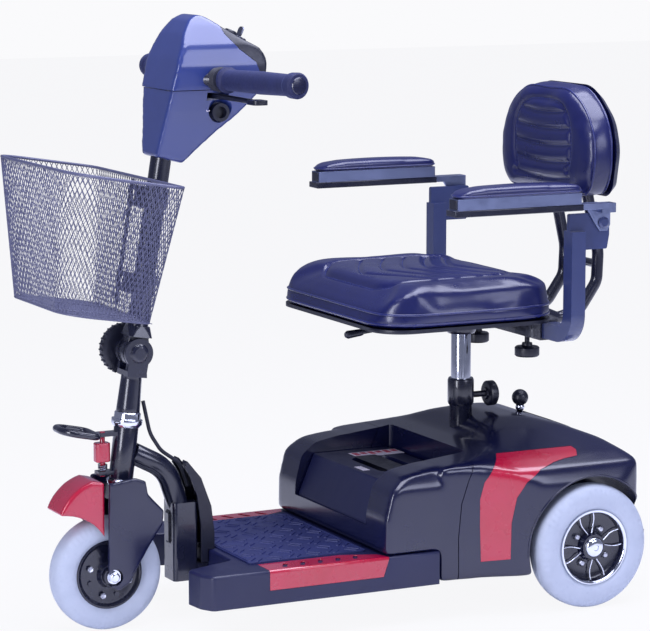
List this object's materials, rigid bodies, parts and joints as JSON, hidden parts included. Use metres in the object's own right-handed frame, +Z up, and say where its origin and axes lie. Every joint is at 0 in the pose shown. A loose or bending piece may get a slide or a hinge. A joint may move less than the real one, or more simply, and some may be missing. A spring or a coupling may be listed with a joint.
{
  "type": "mobility scooter",
  "caption": "Compact travel mobility scooter with a tilting tiller, wire basket, swivelling padded seat, folding backrest, lifting armrests and a lift-out battery.",
  "frame": {"origin": "on the ground, midway along and midway across the machine", "axes": "+X forward, +Y the driver's left, +Z up"},
  "size_m": [1.0158, 0.5574, 0.943],
  "materials": {
    "black_enamel": "gloss",
    "chrome": "polished",
    "navy_plastic": "satin",
    "dark_plastic": "matte",
    "blue_gloss": "gloss",
    "red_gloss": "gloss",
    "grey_tyre": "matte",
    "rubber": "matte",
    "steel": "satin",
    "vinyl": "gloss",
    "rim_black": "gloss",
    "arm_grey": "satin"
  },
  "bodies": {
    "frame": {"main_frame": "black_enamel", "headset_cups": "chrome", "tube_shroud": "dark_plastic", "floor_pan": "navy_plastic", "floor_mat": "rubber", "deck_trims": "red_gloss", "front_body_cover": "navy_plastic", "rear_body_cover": "navy_plastic", "side_flashes": "red_gloss", "drive_unit": "black_enamel", "front_ring": "black_enamel", "anti_tippers": "rubber", "frame_cable": "dark_plastic", "lock_spring": "steel"},
    "steering": {"steering_stem": "black_enamel", "front_fork": "black_enamel", "fork_covers": "navy_plastic", "front_fender": "red_gloss", "front_axle": "chrome"},
    "front_wheel": {"front_tyre": "grey_tyre", "front_rim": "rim_black", "front_bearings": "steel"},
    "tilt_dial": {"tilt_dial": "dark_plastic"},
    "tiller": {"tiller_tube": "black_enamel", "basket_bracket": "black_enamel", "head_upper_shell": "blue_gloss", "head_lower_shell": "blue_gloss", "dash_panel": "dark_plastic", "handle_grips": "rubber", "charger_socket": "dark_plastic"},
    "throttle": {"throttle_lever": "dark_plastic"},
    "speed_dial": {"speed_dial": "dark_plastic"},
    "ignition_key": {"ignition_key": "steel"},
    "horn_button": {"horn_button": "dark_plastic"},
    "basket": {"basket": "black_enamel"},
    "seat_post": {"seat_post": "chrome"},
    "seat": {"seat_bracket": "black_enamel", "seat_pan": "navy_plastic", "seat_cushion": "vinyl"},
    "swivel_lever": {"swivel_lever": "dark_plastic"},
    "left_arm_base": {"left_arm_base": "black_enamel"},
    "right_arm_base": {"right_arm_base": "black_enamel"},
    "left_armrest": {"left_arm_frame": "arm_grey", "left_arm_pad": "vinyl"},
    "right_armrest": {"right_arm_frame": "arm_grey", "right_arm_pad": "vinyl"},
    "left_arm_knob": {"left_arm_knob": "dark_plastic"},
    "right_arm_knob": {"right_arm_knob": "dark_plastic"},
    "backrest": {"backrest_frame": "black_enamel", "backrest_shell": "navy_plastic", "backrest_cushion": "vinyl"},
    "left_wheel": {"left_rear_tyre": "grey_tyre", "left_rear_rim": "rim_black"},
    "right_wheel": {"right_rear_tyre": "grey_tyre", "right_rear_rim": "rim_black"},
    "battery": {"battery_case": "navy_plastic", "battery_handle": "dark_plastic"},
    "post_knob": {"post_knob": "dark_plastic"},
    "freewheel_lever": {"freewheel_lever": "dark_plastic"},
    "lock_lever": {"lock_lever": "red_gloss"}
  },
  "joints": [
    {"name": "steering", "type": "hinge", "parent": "frame", "child": "steering", "pos_m": [0.34508, 0, 0.43], "axis": [-0.1219, 0, 0.9925], "range_deg": [-35, 35]},
    {"name": "front_wheel_spin", "type": "hinge", "parent": "steering", "child": "front_wheel", "pos_m": [0.39708, 0, 0.089], "axis": [0, 1, 0], "continuous": true},
    {"name": "tiller_tilt", "type": "hinge", "parent": "steering", "child": "tiller", "pos_m": [0.34508, 0, 0.43], "axis": [0, -1, 0], "range_deg": [-15, 10]},
    {"name": "tilt_dial_turn", "type": "hinge", "parent": "steering", "child": "tilt_dial", "pos_m": [0.34508, 0, 0.43], "axis": [0, -1, 0], "range_deg": [0, 270]},
    {"name": "throttle", "type": "hinge", "parent": "tiller", "child": "throttle", "pos_m": [0.2419, 0, 0.822], "axis": [0, 0, 1], "range_deg": [-8, 8], "stiffness_Nm_per_rad": 0.5},
    {"name": "speed_dial_turn", "type": "hinge", "parent": "tiller", "child": "speed_dial", "pos_m": [0.17577, -0.016, 0.90744], "axis": [-0.4071, 0, 0.9134], "range_deg": [0, 270]},
    {"name": "key_turn", "type": "hinge", "parent": "tiller", "child": "ignition_key", "pos_m": [0.17577, 0.018, 0.90744], "axis": [-0.4071, 0, 0.9134], "range_deg": [0, 90]},
    {"name": "horn_press", "type": "slide", "parent": "tiller", "child": "horn_button", "axis": [0.4071, 0, -0.9134], "range_m": [0, 0.002], "stiffness_N_per_m": 300},
    {"name": "basket_lift", "type": "slide", "parent": "tiller", "child": "basket", "axis": [-0.1587, 0, 0.9873], "range_m": [0, 0.025]},
    {"name": "seat_height", "type": "slide", "parent": "frame", "child": "seat_post", "axis": [0, 0, 1], "range_m": [-0.025, 0.05]},
    {"name": "seat_swivel", "type": "hinge", "parent": "seat_post", "child": "seat", "pos_m": [-0.22892, 0, 0.45], "axis": [0, 0, 1], "continuous": true},
    {"name": "swivel_release", "type": "hinge", "parent": "seat", "child": "swivel_lever", "pos_m": [-0.16692, 0.03, 0.446], "axis": [0, 0, 1], "range_deg": [0, 15], "stiffness_Nm_per_rad": 0.5},
    {"name": "left_arm_width", "type": "slide", "parent": "seat", "child": "left_arm_base", "axis": [0, 1, 0], "range_m": [0, 0.05]},
    {"name": "left_arm_lift", "type": "hinge", "parent": "left_arm_base", "child": "left_armrest", "pos_m": [-0.35092, 0.229, 0.618], "axis": [0, -1, 0], "range_deg": [0, 95]},
    {"name": "left_arm_knob_turn", "type": "hinge", "parent": "seat", "child": "left_arm_knob", "pos_m": [-0.30492, 0.082, 0.4], "axis": [0, 0, 1], "range_deg": [0, 180]},
    {"name": "right_arm_width", "type": "slide", "parent": "seat", "child": "right_arm_base", "axis": [0, -1, 0], "range_m": [0, 0.05]},
    {"name": "right_arm_lift", "type": "hinge", "parent": "right_arm_base", "child": "right_armrest", "pos_m": [-0.35092, -0.229, 0.618], "axis": [0, -1, 0], "range_deg": [0, 95]},
    {"name": "right_arm_knob_turn", "type": "hinge", "parent": "seat", "child": "right_arm_knob", "pos_m": [-0.30492, -0.082, 0.4], "axis": [0, 0, 1], "range_deg": [0, 180]},
    {"name": "backrest_fold", "type": "hinge", "parent": "seat", "child": "backrest", "pos_m": [-0.34492, 0, 0.455], "axis": [0, 1, 0], "range_deg": [0, 72]},
    {"name": "left_wheel_spin", "type": "hinge", "parent": "frame", "child": "left_wheel", "pos_m": [-0.34292, 0.2125, 0.1], "axis": [0, 1, 0], "continuous": true},
    {"name": "right_wheel_spin", "type": "hinge", "parent": "frame", "child": "right_wheel", "pos_m": [-0.34292, -0.2125, 0.1], "axis": [0, 1, 0], "continuous": true},
    {"name": "battery_lift", "type": "slide", "parent": "frame", "child": "battery", "axis": [0, 0, 1], "range_m": [0, 0.14]},
    {"name": "post_knob_turn", "type": "hinge", "parent": "frame", "child": "post_knob", "pos_m": [-0.27892, 0, 0.316], "axis": [1, 0, 0], "range_deg": [0, 180]},
    {"name": "freewheel_pull", "type": "slide", "parent": "frame", "child": "freewheel_lever", "axis": [0, 0, 1], "range_m": [0, 0.012]},
    {"name": "lock_push", "type": "slide", "parent": "frame", "child": "lock_lever", "axis": [0, 0, -1], "range_m": [0, 0.006], "stiffness_N_per_m": 300, "deforming": ["lock_spring"]}
  ]
}
